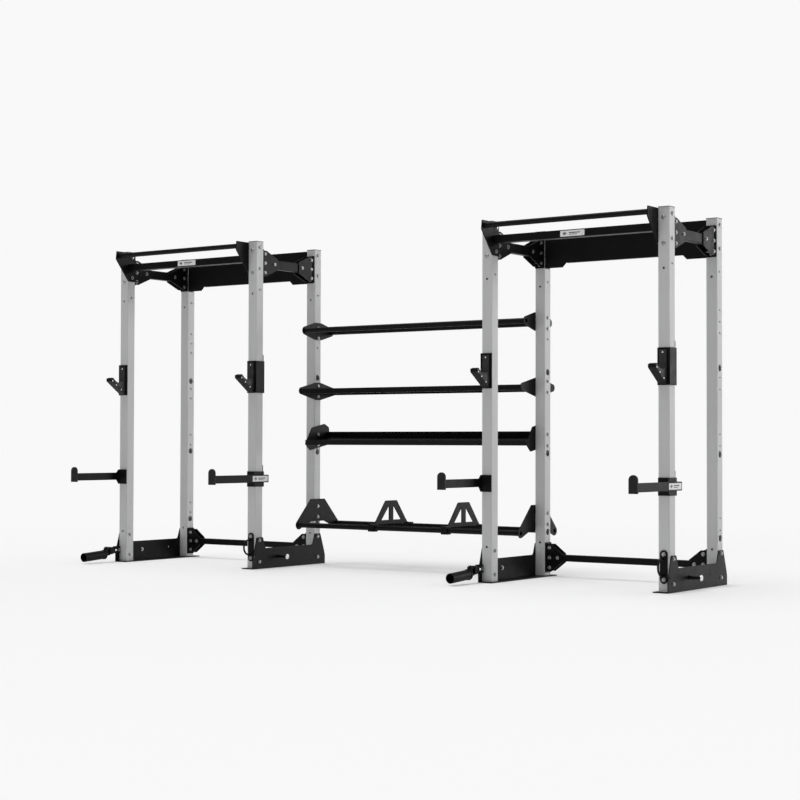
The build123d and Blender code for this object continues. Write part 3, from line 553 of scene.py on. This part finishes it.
def socket_ends():
    """Plated ends of the two pins that each bar socket swings on."""
    joints = {row["name"]: row for row in frame["record"]["behaviour"]["joints"]}
    cap = [(8.4 * MM, 0), (8.4 * MM, 1.6 * MM), (7.2 * MM, 3.4 * MM), (4.2 * MM, 4.4 * MM), (0, 4.7 * MM)]
    for side in ("left", "right"):
        pivot = Vector(joints[f"socket_lift_{side}"]["pos_m"])
        swivel = Vector(joints[f"socket_turn_{side}"]["pos_m"])
        upwards = Vector(joints[f"socket_turn_{side}"]["axis"]).normalized()
        mesh = bmesh.new()
        for way in (1, -1):
            turned(mesh, pivot + Vector((way * PIVOT_END, 0, 0)), Vector((way, 0, 0)), cap, 24)
        turned(mesh, swivel + upwards * SWIVEL_TOP, upwards, cap, 24)
        smooth(mesh)
        piece(f"socket_ends_{side}", mesh, CHROME, f"socket_knuckle_{side}")


# ---------------------------------------------------------------- welds

def hook_welds():
    """Beads where the sloping arm under the seat meets the front plate."""
    for tag in TAGS:
        bracket_low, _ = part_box(f"hook_bracket_{tag}")
        liner_low, liner_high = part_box(f"hook_liner_{tag}")
        middle = (liner_low.x + liner_high.x) / 2
        mesh = bmesh.new()
        for side in (-1, 1):
            foot = Vector((middle + side * HOOK_ARM_HALF, liner_high.y, bracket_low.z + 1 * MM))
            bead(mesh, along(foot, foot + Vector((0, 0, 12 * MM))), 1.8 * MM)
        smooth(mesh)
        piece(f"hook_welds_{tag}", mesh, WELD, f"hook_{tag}")


def arm_welds():
    """Beads along the top and bottom of the hollow arm where it crosses its bracket."""
    for tag in TAGS:
        low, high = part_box(f"arm_frame_{tag}")
        side = OUTWARD[tag]
        face = (high.x - 20 * MM) if side > 0 else (low.x + 20 * MM)
        mesh = bmesh.new()
        for up in (28 * MM, 78 * MM):
            z = low.z + up
            start = Vector((face, high.y - 105 * MM, z))
            end = Vector((face, high.y - 26 * MM, z))
            bead(mesh, along(start, end), 2.0 * MM)
        smooth(mesh)
        piece(f"arm_welds_{tag}", mesh, WELD, f"arm_{tag}")


def bracket_welds():
    """Beads down both sides of every cheek where it stands on its flange."""
    mesh = bmesh.new()
    for points in islands(nodes["end_brackets"]):
        low, high = corners(points)
        run = 1 if high.y - low.y > high.x - low.x else 0
        across = 1 - run
        low_end = [p.z for p in points if abs(p[run] - low[run]) < 1e-5]
        high_end = [p.z for p in points if abs(p[run] - high[run]) < 1e-5]
        flange = low[run] + 8 * MM if max(low_end) > max(high_end) else high[run] - 8 * MM
        middle = (low + high) / 2
        for offset in CHEEK_FACES:
            start = Vector((0, 0, middle.z - CHEEK_WELD / 2))
            start[run] = flange
            start[across] = middle[across] + offset
            bead(mesh, along(start, start + Vector((0, 0, CHEEK_WELD)), 2.2 * MM), 1.9 * MM, sides=5)
    smooth(mesh)
    piece("bracket_welds", mesh, WELD, "frame")


def foot_welds():
    """Beads round each band peg's collar and where the rope loops meet their straps."""
    mesh = bmesh.new()
    for points in islands(nodes["band_pegs"]):
        root, way = peg_root(points)
        collar = root + Vector((way * 6 * MM, 0, 0))
        bead(mesh, round_trip(collar, Vector((1, 0, 0)), 14.6 * MM), 1.6 * MM, closed=True)
    for points in islands(nodes["rope_anchors"]):
        low, high = corners(points)
        for up in (51 * MM, 136 * MM):
            centre = Vector(((low.x + high.x) / 2, high.y - 6 * MM, low.z + up))
            bead(mesh, round_trip(centre, Vector((0, 1, 0)), 6.8 * MM), 1.7 * MM, closed=True)
    smooth(mesh)
    piece("foot_welds", mesh, WELD, "frame")


# ---------------------------------------------------------------- set

def floor():
    """Pale studio floor that fades into the backdrop's tone far from the object."""
    f = Finish("StudioFloor")
    f.plug(f.shader.inputs["Base Color"], f.mix(f.noise(2.0, 3), f.grey(0.94), f.grey(0.955)))
    f.shader.inputs["Roughness"].default_value = 0.9
    f.shader.inputs["Specular IOR Level"].default_value = 0.05
    glow = f.node("ShaderNodeEmission")
    glow.inputs["Color"].default_value = BACKDROP
    away = f.node("ShaderNodeVectorMath", operation="LENGTH")
    f.plug(away.inputs[0], f.place)
    blend = f.node("ShaderNodeMixShader")
    f.plug(blend.inputs["Fac"], f.spread(away.outputs["Value"], 3.0, 8.0, 0.25, 1.0))
    f.plug(blend.inputs[1], f.shader.outputs["BSDF"])
    f.plug(blend.inputs[2], glow.outputs["Emission"])
    f.plug(f.tree.nodes["Material Output"].inputs["Surface"], blend.outputs["Shader"])
    mesh = bmesh.new()
    bmesh.ops.create_grid(mesh, x_segments=2, y_segments=2, size=120)
    data = bpy.data.meshes.new("floor")
    mesh.to_mesh(data)
    mesh.free()
    data.materials.append(f.material)
    ground = bpy.data.objects.new("floor", data)
    ground.location.z = -0.5 * MM
    bpy.context.scene.collection.objects.link(ground)


def sun(name, toward, strength, degrees):
    """A sun that shines along toward, as wide in the sky as that many degrees."""
    data = bpy.data.lights.new(name, "SUN")
    data.energy = strength
    data.angle = math.radians(degrees)
    obj = bpy.data.objects.new(name, data)
    obj.location = -4.0 * Vector(toward) + Vector((0, 0, 1))
    obj.rotation_euler = Vector(toward).to_track_quat("-Z", "Y").to_euler()
    bpy.context.scene.collection.objects.link(obj)


def studio():
    """Dim in front, brighter behind, with one bright panel behind and to the right, and two soft suns."""
    scene = bpy.context.scene
    world = bpy.data.worlds.new("Studio")
    world.use_nodes = True
    tree = world.node_tree

    def node(kind, inputs=(), **settings):
        made = tree.nodes.new(kind)
        for name, value in settings.items():
            setattr(made, name, value)
        for name, value in inputs:
            if isinstance(value, bpy.types.NodeSocket):
                tree.links.new(value, made.inputs[name])
            else:
                made.inputs[name].default_value = value
        return made

    around = node("ShaderNodeTexCoord").outputs["Generated"]
    split = node("ShaderNodeSeparateXYZ", [(0, around)])
    depth = node("ShaderNodeMapRange", [("Value", split.outputs["Y"]), ("From Min", -0.45), ("From Max", 0.5)],
                 interpolation_type="SMOOTHSTEP")
    tone = node("ShaderNodeMix", [("Factor", depth.outputs["Result"])], data_type="RGBA")
    tone.inputs["A"].default_value = (0.12, 0.12, 0.123, 1)
    tone.inputs["B"].default_value = (0.45, 0.45, 0.45, 1)
    toward = node("ShaderNodeVectorMath", [(0, around), (1, Vector((0.6, 0.79, 0.1)).normalized())],
                  operation="DOT_PRODUCT")
    panel = node("ShaderNodeMapRange", [("Value", toward.outputs["Value"]), ("From Min", 0.9),
                                        ("From Max", 0.985), ("To Max", 3.1)],
                 interpolation_type="SMOOTHSTEP")
    lit = node("ShaderNodeMix", data_type="RGBA", blend_type="ADD", clamp_result=False)
    lit.inputs["Factor"].default_value = 1.0
    tree.links.new(tone.outputs["Result"], lit.inputs["A"])
    tree.links.new(panel.outputs["Result"], lit.inputs["B"])
    # the backdrop itself is the same pale tone all round
    seen = node("ShaderNodeMix", data_type="RGBA")
    seen.inputs["B"].default_value = BACKDROP
    tree.links.new(lit.outputs["Result"], seen.inputs["A"])
    tree.links.new(node("ShaderNodeLightPath").outputs["Is Camera Ray"], seen.inputs["Factor"])
    tree.links.new(seen.outputs["Result"], tree.nodes["Background"].inputs["Color"])
    scene.world = world
    scene.view_settings.view_transform = "Standard"
    sun("overhead", (0.22, 0.12, -1.0), 2.0, 50)
    sun("front_fill", (-0.1, 1.0, -0.3), 0.5, 40)


def camera():
    """Low three-quarter view from the right, through a long lens."""
    scene = bpy.context.scene
    yaw, pitch, roll = -0.618637, 0.0243546, 0.0024083
    ahead = Vector((math.sin(yaw) * math.cos(pitch), math.cos(yaw) * math.cos(pitch), math.sin(pitch)))
    level = Vector((math.cos(yaw), -math.sin(yaw), 0))
    upright = level.cross(ahead)
    right = level * math.cos(roll) + upright * math.sin(roll)
    up = upright * math.cos(roll) - level * math.sin(roll)
    data = bpy.data.cameras.new("Camera")
    data.sensor_width = 36
    data.lens = 77.931
    data.clip_end = 400
    place = Matrix.Translation((6.45983, -8.90734, 0.83156))
    obj = bpy.data.objects.new("Camera", data)
    turn = Matrix((right, up, -ahead)).transposed().to_4x4()
    obj.matrix_world = place @ turn
    scene.collection.objects.link(obj)
    scene.camera = obj


dress_cad_nodes()
beam_marks()
arm_labels()
bolt_details()
hook_screws()
peg_nuts()
top_bolts()
socket_ends()
hook_welds()
arm_welds()
bracket_welds()
foot_welds()
floor()
studio()
camera()
